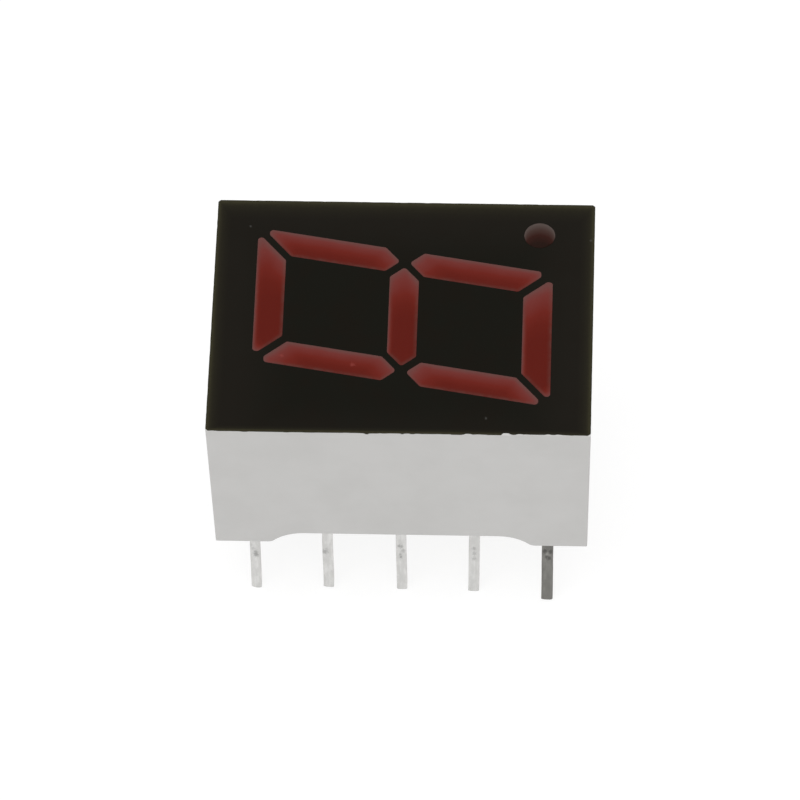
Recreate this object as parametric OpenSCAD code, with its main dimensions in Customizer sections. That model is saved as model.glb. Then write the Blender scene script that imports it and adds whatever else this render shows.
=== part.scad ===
// Single-digit seven segment display on stamped leads, 0.4 inch (10.16 mm) digit.
// A white moulded reflector case carries eight light cavities under a printed black face.
// Red tinted resin fills the cavities, and the lead frame with its dice is potted in behind.
// Origin: centre of the package on the seating plane. +Z to the face, +Y to the digit's top.

/* [Case] */
// Length of the face, along the digit's height
face_length = 13.0; // [12.8:0.1:14]
// Width of the face, across the two rows of leads
face_width = 9.8; // [9.6:0.1:10.6]
// Height from the seating plane to the printed face
case_height = 6.7; // [6.2:0.05:7.5]
// Draft of the four outer walls, in degrees
wall_draft = 0.9; // [0:0.1:1.5]
// Width of the small flats that break the case's four upright corners
corner_flat = 0.12; // [0.05:0.01:0.2]
// Thickness of the wall round the rear pocket, measured at the seating plane
wall_thickness = 0.56; // [0.4:0.02:0.6]
// Depth of the rear pocket, from the seating plane to the reflector floor
pocket_depth = 3.2; // [3:0.05:3.4]
// Corner radius inside the rear pocket
pocket_corner = 0.3; // [0.1:0.05:0.5]

/* [Stand-off feet] */
// Height of the stand-off cut into both long walls
standoff_height = 0.54; // [0.4:0.02:0.6]
// Length of each foot left at the ends of a long wall
foot_length = 1.8; // [1.5:0.02:2.4]
// Radius where the stand-off cut runs into its top edge
standoff_radius = 1.4; // [0.8:0.1:1.6]
// Radius that rounds the inner end of each foot
foot_radius = 0.3; // [0.2:0.05:0.4]

/* [Digit] */
// Height of the digit
digit_height = 10.16; // [9.6:0.02:10.4]
// Width of the digit, measured square to the row of segments
digit_width = 5.64; // [5.2:0.02:6]
// Width of every segment
segment_width = 1.0; // [0.8:0.02:1.1]
// Forward slant of the digit, in degrees
digit_slant = 10; // [0:0.5:12]
// Shift of the digit to the left of the package centre
digit_left = 0.02; // [0:0.01:0.1]
// Shift of the digit below the package centre
digit_drop = 0.02; // [0:0.01:0.1]
// Gap between neighbouring segments, square to their mitred ends
segment_gap = 0.27; // [0.2:0.005:0.35]
// Distance of the four corner mitres from the digit's own corner
mitre_shift = 0.02; // [0:0.01:0.1]
// Length cut off the sharp outer tips of the end segments
tip_cut = 0.4; // [0.3:0.02:0.5]
// Radius of the segments' corners
segment_corner = 0.12; // [0.05:0.01:0.14]
// Diameter of the decimal point
point_diameter = 1.06; // [0.9:0.02:1.1]
// Distance of the decimal point to the right of the package centre
point_x = 3.53; // [3.5:0.01:3.6]
// Distance of the decimal point below the package centre
point_y = 4.61; // [4.55:0.01:4.65]

/* [Light cavities] */
// Thickness of the printed black coat on the face
coat_thickness = 0.06; // [0.04:0.01:0.1]
// Length of the straight well at the foot of each bar cavity
well_length = 1.9; // [1.8:0.05:2]
// Width of the well at the foot of each bar cavity
well_width = 0.84; // [0.8:0.02:0.9]
// Height of the wells above the reflector floor, which is where the tinted resin ends
well_height = 0.9; // [0.7:0.05:1]

/* [Lead frame] */
// Spacing of the leads along a row
lead_pitch = 2.54; // [2.54]
// Spacing of the two rows of leads
row_spacing = 7.62; // [7.62]
// Width of a lead
lead_width = 0.4; // [0.38:0.01:0.5]
// Thickness of the stamped sheet
sheet_thickness = 0.25; // [0.2:0.01:0.3]
// Length of the leads below the seating plane
lead_length = 4.05; // [3:0.05:6]
// Inner radius where a lead is bent down
bend_radius = 0.15; // [0.1:0.01:0.2]
// Width of the conductors inside the package
trace_width = 0.4; // [0.3:0.01:0.44]
// Sideways lean of leads 1 to 10 in use, in degrees towards +Y
lead_lean = [0.9, 1.35, 0.9, 1.4, 1.3, 0.8, 1.1, 0.6, 1.2, 0.9];
// Outward splay of leads 1 to 10 in use, in degrees away from the package
lead_splay = [0, 0.3, 0, 0.2, 4.5, 0.4, 0, 0.3, 0, 0.2];

/* [Dice and wires] */
// Side of an emitter die
chip_side = 0.3; // [0.24:0.01:0.34]
// Height of an emitter die
chip_height = 0.28; // [0.2:0.01:0.3]
// Diameter of a bond wire
wire_diameter = 0.05; // [0.04:0.01:0.06]
// Angle that a bond wire's arc turns through
wire_arc = 140; // [120:5:160]
// Diameter of the ball bonded to a die
ball_diameter = 0.14; // [0.12:0.01:0.18]
// Height of the ball bonded to a die
ball_height = 0.05; // [0.04:0.01:0.06]

/* [Potting] */
// Level of the potting above the seating plane, well inside the pocket
potting_level = 0.76; // [0.6:0.02:0.9]
// Radius of the meniscus where the potting creeps down the pocket's walls
meniscus_radius = 0.16; // [0.1:0.01:0.2]

/* [Hidden] */

$fn = 48;
overlap = 0.5;                                  // how far a cutting tool reaches past a face
arc_steps = 6;                                  // steps in a small outline arc
well_steps = 12;                                // steps in each round end of a well

case_top = case_height - coat_thickness;
draft_inset = case_height * tan(wall_draft);
pocket_width = face_width - 2 * (draft_inset + wall_thickness);
pocket_length = face_length - 2 * (draft_inset + wall_thickness);
well_top = pocket_depth + well_height;

half_width = digit_width / 2;
half_height = digit_height / 2;
half_bar = segment_width / 2;
mitre_middle = half_height - half_width + mitre_shift;
mitre_half_gap = segment_gap / sqrt(2);
bar_middle = half_width - half_bar;             // from the digit's axis to an upright's centre line
upright_tip = half_height - tip_cut;            // outer end of an upright
upright_foot = 0.165;                           // inner end of an upright, at its point
upright_centre = (upright_tip + upright_foot) / 2;
// From the centre to each point of segment g, which leaves the same gap to the uprights
middle_tip = bar_middle + upright_foot - segment_gap * sqrt(2);

// Every segment: name, side of the digit (x, y) and whether it lies across or upright
across = 0;
upright = 1;
BARS = [
    ["a", [0, 1], across], ["b", [1, 1], upright], ["c", [1, -1], upright],
    ["d", [0, -1], across], ["e", [-1, -1], upright], ["f", [-1, 1], upright],
    ["g", [0, 0], across]
];

// ---------------------------------------------------------------- outlines

// Moves a point of the upright digit to its slanted place on the face
function slanted(p) = [p[0] + p[1] * tan(digit_slant) - digit_left, p[1] - digit_drop];

// Points of an arc round a centre
function arc(centre, radius, from, to, steps = arc_steps) =
    [for (i = [0:steps]) centre + radius * [cos(from + (to - from) * i / steps),
                                            sin(from + (to - from) * i / steps)]];

// Right half of segment a, from its lower edge out to its tip
function end_bar_half() =
    let (lower = half_height - segment_width,
         mitre = mitre_middle + mitre_half_gap,
         tip = half_width - tip_cut)
    [[lower - mitre, lower], [tip, tip + mitre], [tip, half_height]];

// Segment a, as the mirror pair of its right half
function end_bar() = concat(end_bar_half(),
    [for (i = [2:-1:0]) [-end_bar_half()[i][0], end_bar_half()[i][1]]]);

// Segment b, from the inner edge at the top round to its pointed inner end
function upright_bar() =
    let (inner = half_width - segment_width,
         mitre = mitre_middle - mitre_half_gap)
    [[inner, inner + mitre], [upright_tip - mitre, upright_tip], [half_width, upright_tip],
     [half_width, upright_foot + half_bar], [bar_middle, upright_foot],
     [inner, upright_foot + half_bar]];

// Segment g, pointed at both ends
function middle_bar() =
    let (shoulder = middle_tip - half_bar)
    [[middle_tip, 0], [shoulder, half_bar], [-shoulder, half_bar],
     [-middle_tip, 0], [-shoulder, -half_bar], [shoulder, -half_bar]];

function bar_points(bar) =
    let (side = bar[1],
         points = bar[2] == upright ? upright_bar() : side[1] == 0 ? middle_bar() : end_bar(),
         flip_x = side[0] < 0 ? -1 : 1,
         flip_y = side[1] < 0 ? -1 : 1)
    [for (p = points) slanted([p[0] * flip_x, p[1] * flip_y])];

// Outline of a segment on the face, its corners rounded
module bar_outline(bar) {
    offset(r = segment_corner, $fn = 24)
        offset(delta = -segment_corner)
            polygon(bar_points(bar));
}

function bar_centre(bar) =
    bar[2] == upright
        ? slanted([bar[1][0] * bar_middle, bar[1][1] * upright_centre])
        : slanted([0, bar[1][1] * (half_height - half_bar)]);

function bar_angle(bar) = bar[2] == upright ? 90 - digit_slant : 0;

// Oval foot of a bar's cavity, about its own centre
function oval(length, width) =
    let (reach = (length - width) / 2)
    concat(arc([reach, 0], width / 2, -90, 90, well_steps),
           arc([-reach, 0], width / 2, 90, 270, well_steps));

module well_outline(bar) {
    translate(bar_centre(bar))
        rotate(bar_angle(bar))
            polygon(oval(well_length, well_width));
}

module rounded_rectangle(length, width, radius) {
    square([width - 2 * radius, length], center = true);
    square([width, length - 2 * radius], center = true);
    for (x = [-1, 1], y = [-1, 1])
        translate([x * (width / 2 - radius), y * (length / 2 - radius)])
            circle(r = radius);
}

// ---------------------------------------------------------------- cavities

// Tapered part of a bar's cavity: oval at the well, the segment's outline at the face
skin = 0.01;                                    // thickness of the slab that sets a taper's small end
module bar_taper(bar) {
    hull() {
        translate([0, 0, case_top])
            linear_extrude(coat_thickness)
                bar_outline(bar);
        translate([0, 0, well_top])
            linear_extrude(skin)
                well_outline(bar);
    }
}

// Straight well of a bar, from the reflector floor up to the tinted resin
module bar_well(bar, below = 0) {
    translate([0, 0, pocket_depth - below])
        linear_extrude(well_height + below)
            well_outline(bar);
}

module at_point() {
    translate([point_x, -point_y, 0])
        children();
}

module point_taper() {
    at_point() {
        translate([0, 0, case_top])
            cylinder(d = point_diameter, h = coat_thickness);
        translate([0, 0, well_top])
            cylinder(d1 = well_width, d2 = point_diameter, h = case_top - well_top);
    }
}

module point_well(below = 0) {
    at_point()
        translate([0, 0, pocket_depth - below])
            cylinder(d = well_width, h = well_height + below);
}

// ---------------------------------------------------------------- case and face

// Long bar along Y whose two sides lean in by the draft: half_top is its half width at the face
module drafted_wedge(half_top, inset = draft_inset) {
    ink_inset = inset * coat_thickness / case_height;
    rotate([90, 0, 0])
        linear_extrude(2 * face_length, center = true)
            polygon([[half_top - inset, 0], [half_top - ink_inset, case_top],
                     [ink_inset - half_top, case_top], [inset - half_top, 0]]);
}

// Box with the same draft on its four walls and a small flat on its four upright corners
module drafted_box() {
    to_corner = (face_width + face_length) / 2 / sqrt(2) - corner_flat / 2;
    intersection() {
        drafted_wedge(face_width / 2);
        rotate(90)
            drafted_wedge(face_length / 2);
        for (turn = [45, 135])
            rotate(turn)
                drafted_wedge(to_corner, draft_inset * sqrt(2));
    }
}

// Outline of the face, with the same flats on its corners
module face_outline() {
    x = face_width / 2;
    y = face_length / 2;
    cut = corner_flat / sqrt(2);
    polygon([[x, y - cut], [x - cut, y], [cut - x, y], [-x, y - cut],
             [-x, cut - y], [cut - x, -y], [x - cut, -y], [x, cut - y]]);
}

// Half profile of the stand-off cut, seen along X, from the middle out to the foot
foot_inner = face_length / 2 - draft_inset - foot_length;
cut_run = sqrt(2 * standoff_height * (standoff_radius + foot_radius)
               - pow(standoff_height, 2));
cut_turn = atan2(standoff_radius + foot_radius - standoff_height, cut_run);
function standoff_half() = concat(
    arc([foot_inner - cut_run, standoff_height - standoff_radius], standoff_radius, 90, cut_turn),
    arc([foot_inner, foot_radius], foot_radius, 180 + cut_turn, 270),
    [[foot_inner, -overlap]]);

module standoff_cut() {
    translate([-face_width / 2 - overlap, 0, 0])
        rotate([90, 0, 90])
            linear_extrude(face_width + 2 * overlap)
                for (side = [0, 1])
                    mirror([side, 0])
                        polygon(concat([[-overlap / 2, -overlap],
                                        [-overlap / 2, standoff_height]], standoff_half()));
}

module rear_pocket() {
    translate([0, 0, -overlap])
        linear_extrude(pocket_depth + overlap)
            rounded_rectangle(pocket_length, pocket_width, pocket_corner);
}

module reflector_case() {
    color("whitesmoke")
        difference() {
            drafted_box();
            rear_pocket();
            standoff_cut();
            for (bar = BARS) {
                bar_taper(bar);
                bar_well(bar, overlap);
            }
            point_taper();
            point_well(overlap);
        }
}

// The ink: one thin sheet over the whole face, open at the eight windows
module black_face_coat() {
    color([0.09, 0.085, 0.08])
        translate([0, 0, case_top])
            difference() {
                linear_extrude(coat_thickness)
                    face_outline();
                translate([0, 0, -overlap])
                    linear_extrude(coat_thickness + 2 * overlap)
                        for (bar = BARS)
                            bar_outline(bar);
                translate([point_x, -point_y, -overlap])
                    cylinder(d = point_diameter, h = coat_thickness + 2 * overlap);
            }
}

// ---------------------------------------------------------------- tinted resin

module segment(index) {
    color([0.62, 0.2, 0.17])
        bar_taper(BARS[index]);
}

module decimal_point() {
    color([0.4, 0.2, 0.18])
        point_taper();
}

// ---------------------------------------------------------------- lead frame

sheet_bottom = pocket_depth - sheet_thickness;
row_x = row_spacing / 2;
bend_outer = bend_radius + sheet_thickness;
bend_x = row_x + sheet_thickness / 2 - bend_outer;  // where a conductor starts to bend down
stub = 0.2;                                         // straight run of a lead before its bend
leg_top = pocket_depth - bend_outer;                // where a lead's bend ends and its leg begins
pad_side = 0.52;                                    // square die pads and bonding posts
point_pad_side = 0.36;                              // the same two under the decimal point

// Place and side of lead 1 to 10, counted as on the real package
function lead_side(number) = number <= 5 ? -1 : 1;
function lead_y(number) = (number <= 5 ? 3 - number : number - 8) * lead_pitch;

// Where the die and the bonding post lie in each bar's well: the sign is the die's end
die_offset = 0.45;                                  // from the well's middle to the die
post_offset = 0.45;                                 // from the well's middle to the post
DIE_END = [-1, -1, 1, 1, 1, -1, 1];
function along(bar, distance) =
    bar_centre(bar) + distance * [cos(bar_angle(bar)), sin(bar_angle(bar))];
function bar_die(index) = along(BARS[index], DIE_END[index] * die_offset);
function bar_post(index) = along(BARS[index], -DIE_END[index] * post_offset);
// The decimal point's own two, from the middle of its round well
point_die_offset = [0, 0.22];
point_post_offset = [-0.12, -0.27];
point_die = [point_x, -point_y] + point_die_offset;
point_post = [point_x, -point_y] + point_post_offset;

DICE = concat([for (i = [0:6]) bar_die(i)], [point_die]);
POSTS = concat([for (i = [0:6]) bar_post(i)], [point_post]);
a = 0; b = 1; c = 2; d = 3; e = 4; f = 5; g = 6; dp = 7;

function unit(v) = v / norm(v);
function square_to(v) = [-v[1], v[0]];

// Where the edge of a conductor turns at one point of its route, on the side given by offset
function edge_point(route, i, offset) =
    let (last = len(route) - 1,
         before = unit(route[max(i, 1)] - route[max(i, 1) - 1]),
         after = unit(route[min(i, last - 1) + 1] - route[min(i, last - 1)]),
         normal = unit(square_to(before) + square_to(after)))
    route[i] + normal * offset / (normal * square_to(after));

// One conductor of even width along a route
module trace(route) {
    last = len(route) - 1;
    polygon(concat(
        [for (i = [0:last]) edge_point(route, i, trace_width / 2)],
        [for (i = [last:-1:0]) edge_point(route, i, -trace_width / 2)]));
}

module pad(place, side = pad_side) {
    translate(place)
        square(side, center = true);
}

module sheet() {
    translate([0, 0, sheet_bottom])
        linear_extrude(sheet_thickness)
            children();
}

// One view of a leg: upright in the potting, then leaning by an angle down to its tip
module leg_view(width, angle) {
    slide = (lead_length + potting_level) * tan(angle);
    polygon([[-width / 2, leg_top], [-width / 2, potting_level], [slide - width / 2, -lead_length],
             [slide + width / 2, -lead_length], [width / 2, potting_level], [width / 2, leg_top]]);
}

// Bend and leg of one lead: it leaves the sheet, turns down and stands out of the potting
module leg(number) {
    translate([0, lead_y(number), 0])
        mirror([lead_side(number) < 0 ? 1 : 0, 0, 0]) {
            translate([bend_x - stub, -lead_width / 2, sheet_bottom])
                cube([stub, lead_width, sheet_thickness]);
            translate([bend_x, lead_width / 2, leg_top])
                rotate([90, 0, 0])
                    rotate_extrude(angle = 90)
                        translate([bend_radius, 0])
                            square([sheet_thickness, lead_width]);
            intersection() {
                rotate([90, 0, 90])
                    linear_extrude(row_spacing)
                        leg_view(lead_width, lead_lean[number - 1]);
                translate([row_x, 0, 0])
                    rotate([90, 0, 0])
                        linear_extrude(lead_pitch, center = true)
                            leg_view(sheet_thickness, lead_splay[number - 1]);
            }
        }
}

// Where the straight run before a lead's bend begins
function stub_end(number) = [lead_side(number) * (bend_x - stub), lead_y(number)];

// A lead with its bonding post: the route runs from the bend to the post
module signal_lead(number, post, route, post_side = pad_side) {
    start = [lead_side(number) * (bend_x - stub / 2), lead_y(number)];
    color("silver") {
        sheet() {
            trace(concat([start], route, [post]));
            pad(post, post_side);
        }
        leg(number);
    }
}

post_turn = 0.6;                                // run of the slope between a lead's row and its post
post_g_lead_in = 0.3;                           // lead 1 comes down to this side of segment g's post
bus_drop = -0.72;                               // the bus passes below segment g's bonding post
bus_x = [-2.0, -1.4];                           // where it slopes down to that level
branch_y = -3.75;                               // level of the branch to the decimal point

module lead_1_g() {
    column = POSTS[g][0] - post_g_lead_in;
    signal_lead(1, POSTS[g], [[column - post_turn, lead_y(1)], [column, lead_y(1) - post_turn],
                              [column, post_turn]]);
}

module lead_2_f() {
    signal_lead(2, POSTS[f], [[POSTS[f][0] - 2 * post_turn, lead_y(2)],
                              [POSTS[f][0] - post_turn, POSTS[f][1]]]);
}

module lead_4_e() {
    signal_lead(4, POSTS[e], [stub_end(4)]);
}

module lead_5_d() {
    signal_lead(5, POSTS[d], [[POSTS[d][0] - 2 * post_turn, lead_y(5)],
                              [POSTS[d][0] - post_turn, POSTS[d][1]]]);
}

module lead_6_dp() {
    signal_lead(6, POSTS[dp], [], point_pad_side);
}

module lead_7_c() {
    signal_lead(7, POSTS[c], [[POSTS[c][0] + 2 * post_turn, lead_y(7)],
                              [POSTS[c][0] + post_turn, POSTS[c][1]]]);
}

module lead_9_b() {
    signal_lead(9, POSTS[b], [stub_end(9)]);
}

module lead_10_a() {
    signal_lead(10, POSTS[a], [[POSTS[a][0] + 2 * post_turn, lead_y(10)],
                               [POSTS[a][0] + post_turn, POSTS[a][1]]]);
}

// Leads 3 and 8, the bus between them and its branches to all eight die pads
module common_lead() {
    bus_end = bend_x - stub / 2;
    trunk = DICE[g][0];
    low_trunk = DICE[d][0];
    color("silver") {
        sheet() {
            trace([[-bus_end, 0], [bus_x[0], 0], [bus_x[1], bus_drop], [trunk, bus_drop]]);
            trace([[trunk, 0], [bus_end, 0]]);
            trace([[trunk, bus_drop - trace_width / 2], [trunk, 0], DICE[a]]);
            for (die = [b, c, e, f])
                trace([[DICE[die][0], 0], DICE[die]]);
            trace([[low_trunk, bus_drop], DICE[d]]);
            trace([[low_trunk, branch_y], [point_die[0] - post_turn, branch_y], point_die]);
            for (die = [a:g])
                pad(DICE[die]);
            pad(DICE[dp], point_pad_side);
        }
        leg(3);
        leg(8);
    }
}

module lead_frame() {
    common_lead();
    lead_1_g();
    lead_2_f();
    lead_4_e();
    lead_5_d();
    lead_6_dp();
    lead_7_c();
    lead_9_b();
    lead_10_a();
}

// ---------------------------------------------------------------- dice and wires

module led_chip(index) {
    color("gold")
        translate([DICE[index][0] - chip_side / 2, DICE[index][1] - chip_side / 2, pocket_depth])
            cube([chip_side, chip_side, chip_height]);
}

// An arc from the ball on a die to the stitch on the lead beside it
stitch_height = wire_diameter;
module bond_wire(index) {
    die = [DICE[index][0], DICE[index][1], pocket_depth + chip_height];
    post = [POSTS[index][0], POSTS[index][1], pocket_depth];
    start = die + [0, 0, ball_height / 2];
    finish = post + [0, 0, stitch_height / 2];
    span = finish - start;
    run = norm([span[0], span[1]]);
    chord = norm(span);
    radius = chord / 2 / sin(wire_arc / 2);
    color("goldenrod") {
        translate(die)
            cylinder(d = ball_diameter, h = ball_height);
        translate(post)
            cylinder(d = ball_diameter, h = stitch_height);
        translate((start + finish) / 2)
            rotate([0, 0, atan2(span[1], span[0])])
                rotate([90, -atan2(span[2], run), 0])
                    translate([0, -radius * cos(wire_arc / 2), 0])
                        rotate([0, 0, 90 - wire_arc / 2])
                            rotate_extrude(angle = wire_arc)
                                translate([radius, 0])
                                    circle(d = wire_diameter, $fn = 24);
    }
}

// ---------------------------------------------------------------- potting

// Hollow of the potting's open face, rounded where the resin creeps down the walls
dish_reach = 0.01;                              // the dish runs into the wall, so the resin ends in an edge
dish_corner = pocket_corner + dish_reach;
module potting_dish() {
    hull()
        for (x = [-1, 1], y = [-1, 1])
            translate([x * (pocket_width / 2 - pocket_corner),
                       y * (pocket_length / 2 - pocket_corner),
                       potting_level - meniscus_radius])
                rotate_extrude($fn = 32) {
                    translate([0, -overlap])
                        square([dish_corner, overlap]);
                    square([dish_corner - meniscus_radius, meniscus_radius]);
                    intersection() {
                        translate([dish_corner - meniscus_radius, 0])
                            circle(r = meniscus_radius);
                        square([dish_corner, meniscus_radius]);
                    }
                }
}

// Clear resin that holds the lead frame, with an upstand round the dice in every well
module back_potting() {
    color([0.8, 0.77, 0.72])
        difference() {
            union() {
                translate([0, 0, potting_level - meniscus_radius])
                    linear_extrude(pocket_depth - potting_level + meniscus_radius)
                        rounded_rectangle(pocket_length, pocket_width, pocket_corner);
                for (bar = BARS)
                    bar_well(bar);
                point_well();
            }
            potting_dish();
            lead_frame();
            for (index = [0:7]) {
                led_chip(index);
                bond_wire(index);
            }
        }
}

reflector_case();
black_face_coat();
back_potting();
segment(a);  // segment_a
segment(b);  // segment_b
segment(c);  // segment_c
segment(d);  // segment_d
segment(e);  // segment_e
segment(f);  // segment_f
segment(g);  // segment_g
decimal_point();
common_lead();
lead_1_g();
lead_2_f();
lead_4_e();
lead_5_d();
lead_6_dp();
lead_7_c();
lead_9_b();
lead_10_a();
led_chip(a);  // led_chip_a
led_chip(b);  // led_chip_b
led_chip(c);  // led_chip_c
led_chip(d);  // led_chip_d
led_chip(e);  // led_chip_e
led_chip(f);  // led_chip_f
led_chip(g);  // led_chip_g
led_chip(dp);  // led_chip_dp
bond_wire(a);  // bond_wire_a
bond_wire(b);  // bond_wire_b
bond_wire(c);  // bond_wire_c
bond_wire(d);  // bond_wire_d
bond_wire(e);  // bond_wire_e
bond_wire(f);  // bond_wire_f
bond_wire(g);  // bond_wire_g
bond_wire(dp);  // bond_wire_dp
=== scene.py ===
"""One-digit seven segment display: finishes the packed part's surfaces and sets its stage."""

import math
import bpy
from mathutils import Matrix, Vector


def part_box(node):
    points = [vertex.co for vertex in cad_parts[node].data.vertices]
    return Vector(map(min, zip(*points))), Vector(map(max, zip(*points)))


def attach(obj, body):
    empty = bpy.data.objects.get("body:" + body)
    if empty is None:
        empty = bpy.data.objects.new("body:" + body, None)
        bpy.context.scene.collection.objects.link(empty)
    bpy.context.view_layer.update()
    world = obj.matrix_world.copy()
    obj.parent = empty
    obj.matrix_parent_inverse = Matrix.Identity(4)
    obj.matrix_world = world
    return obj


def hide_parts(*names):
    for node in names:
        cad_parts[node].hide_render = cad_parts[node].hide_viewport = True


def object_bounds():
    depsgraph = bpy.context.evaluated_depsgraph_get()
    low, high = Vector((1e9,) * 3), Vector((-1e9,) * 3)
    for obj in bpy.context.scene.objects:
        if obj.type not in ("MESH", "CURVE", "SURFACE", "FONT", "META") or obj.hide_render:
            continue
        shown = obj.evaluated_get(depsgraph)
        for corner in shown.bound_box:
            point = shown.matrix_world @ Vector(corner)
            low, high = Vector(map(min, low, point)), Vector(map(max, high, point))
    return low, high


bl_info = {
    "name": "Seven Segment Display",
    "version": (1, 0, 0),
    "blender": (4, 5, 0),
    "location": "3D View > Sidebar > Display",
    "description": "Finishes the case, face, windows, leads and potting of a one-digit display",
    "category": "Object",
}

import bmesh
import bpy
from mathutils import Euler, Matrix, Vector
from mathutils.bvhtree import BVHTree
from mathutils.geometry import intersect_point_line
from mathutils.noise import noise

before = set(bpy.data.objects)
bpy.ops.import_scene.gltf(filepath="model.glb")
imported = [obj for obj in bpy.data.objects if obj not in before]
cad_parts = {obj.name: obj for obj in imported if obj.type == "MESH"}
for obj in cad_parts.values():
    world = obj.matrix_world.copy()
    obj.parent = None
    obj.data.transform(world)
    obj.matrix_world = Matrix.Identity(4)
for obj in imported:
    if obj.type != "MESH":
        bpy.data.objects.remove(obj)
cad_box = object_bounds()

MM = 0.001  # meshes are worked in millimetres
WELD = 0.0002  # points closer than this are one point
COPLANAR = math.radians(0.1)  # faces that meet at less than this are one flat face
SMOOTH = math.radians(30)  # faces that meet at less than this are shaded as one
LEVEL = 0.999  # a face whose normal has this much Z is level
FLAT_WEIGHT = 90  # how much a flat face counts in the shading of its rounded edges

SEGMENTS = ["segment_" + letter for letter in "abcdefg"]
LEADS = [
    "common_lead", "lead_1_g", "lead_2_f", "lead_4_e", "lead_5_d",
    "lead_6_dp", "lead_7_c", "lead_9_b", "lead_10_a",
]
DARK_LEAD = "lead_5_d"
LIGHTS = (*"abcdefg", "dp")  # the seven bars and the decimal point
DICE = ["led_chip_" + name for name in LIGHTS]
WIRES = ["bond_wire_" + name for name in LIGHTS]


# ---- settings

def amount(name, description, default, low, high, **kind):
    """A number that a user can change, with the unit or subtype in kind."""
    return bpy.props.FloatProperty(
        name=name, description=description, default=default, min=low, max=high, **kind)


def length(name, description, default, low=0.0, high=0.1):
    """A size in metres that a user can change."""
    return amount(
        name, description, default, low, high, precision=6, subtype="DISTANCE", unit="LENGTH")


def share(name, description, default):
    """A number from 0 to 1 that a user can change."""
    return amount(name, description, default, 0.0, 1.0, subtype="FACTOR")


def angle(name, description, default):
    """An angle that a user can change, its default in degrees."""
    return amount(
        name, description, math.radians(default), -math.pi, math.pi,
        subtype="ANGLE", unit="ROTATION")


def colour(name, of_what, default):
    """A colour that a user can change."""
    return bpy.props.FloatVectorProperty(
        name=name, description="Colour of " + of_what, default=default,
        min=0.0, max=1.0, size=3, subtype="COLOR")


class CaseSettings(bpy.types.PropertyGroup):
    """Sizes and colours of the moulded case."""

    plastic: colour("Plastic", "the white case plastic", (0.667, 0.660, 0.646))
    shade: colour("Shade", "the plastic where it is a little denser", (0.614, 0.607, 0.590))
    edge_break: length("Edge Break", "Width that rounds the case's outer edges", 0.00004)
    grain: length("Grain", "Depth of the moulded grain", 0.000002)


class FaceSettings(bpy.types.PropertyGroup):
    """Sizes and colours of the printed black face."""

    ink: colour("Ink", "the black ink", (0.0068, 0.0065, 0.0044))
    paler_edge_ink: colour("Paler Edge Ink", "the ink near the edges", (0.0108, 0.0092, 0.0068))
    thin_ink: colour("Thin Ink", "the ink where it thins at the edge", (0.036, 0.033, 0.018))
    dust: colour("Dust", "the specks of dust", (0.16, 0.16, 0.15))
    shoulder: length("Shoulder", "Width over which the ink falls away at the edge", 0.00013)
    shoulder_drop: length("Shoulder Drop", "How far the ink falls at the edge", 0.00003)
    window_break: length("Window Break", "Width that breaks the edge of each window", 0.000012)
    wander: length("Edge Wander", "How far the printed edge wanders inwards", 0.000016)
    creep: length("Edge Creep", "How far the ink creeps down the case wall", 0.00003)


class ResinSettings(bpy.types.PropertyGroup):
    """Sizes and colours of the tinted resin in the windows."""

    rim: colour("Rim", "the resin at its very edge", (0.100, 0.060, 0.052))
    # painted light and shade: the bars take these colours by their depth along one fixed slant,
    # paler where the slant soon meets the lit white wall, deep red where it runs long
    mouth: colour("Mouth", "the resin right over a cavity's wall", (0.146, 0.0500, 0.0455))
    shallow: colour("Shallow", "the resin half a millimetre deep", (0.158, 0.0320, 0.0275))
    middle: colour("Middle", "the resin over half a cavity's depth", (0.141, 0.0163, 0.0109))
    deep: colour("Deep", "the resin over most of its depth", (0.118, 0.0120, 0.0072))
    floor: colour("Floor", "the resin over a cavity's floor", (0.105, 0.0104, 0.0063))
    # painted light and shade: the decimal point's colours, a painted pale crescent at its wall and
    # painted shade over its floor
    point_mouth: colour("Point Mouth", "the decimal point at its wall", (0.086, 0.064, 0.057))
    point_shallow: colour("Point Shallow", "the decimal point near its wall", (0.055, 0.031, 0.026))
    point_middle: colour("Point Middle", "the decimal point half way down", (0.0325, 0.0098, 0.007))
    point_deep: colour("Point Deep", "the decimal point over its floor", (0.0150, 0.0055, 0.0034))
    # painted light: the paler side of each window lies where this fixed slant meets the white
    # cavity wall
    slant: angle("Slant", "Slant of the light that shows how deep the resin is", 22.5)
    side_slant: angle("Side Slant", "Slant of that light to the face's top end", 2.5)
    sink: length("Sink", "How far the resin has shrunk below the face", 0.000012)


class LeadSettings(bpy.types.PropertyGroup):
    """Sizes and colours of the tinned leads."""

    tin: colour("Tin", "the tin", (0.682, 0.678, 0.664))
    grey_tin: colour("Grey Tin", "the tin where it is dull", (0.584, 0.581, 0.566))
    dark_tin: colour("Dark Tin", "the darkened lead", (0.222, 0.218, 0.204))
    edge_roll: length("Edge Roll", "Width that rounds the stamped edges", 0.00002)
    waviness: length("Waviness", "How far the stamped sides waver", 0.000004)


class PottingSettings(bpy.types.PropertyGroup):
    """Sizes and colours of the potting and what it holds."""

    resin: colour("Resin", "the cloudy potting resin", (0.56, 0.545, 0.49))
    frame_shade: colour("Frame Shade", "the resin over the lead frame", (0.30, 0.29, 0.262))
    skirt_reach: length("Skirt Reach", "How far the resin skirts reach from the leads", 0.00022)
    skirt_height: length("Skirt Height", "How far the resin creeps along the leads", 0.00020)
    die: colour("Die", "the emitter dice", (0.32, 0.24, 0.12))
    gold: colour("Gold", "the gold wires and die tops", (0.78, 0.53, 0.20))


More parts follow.
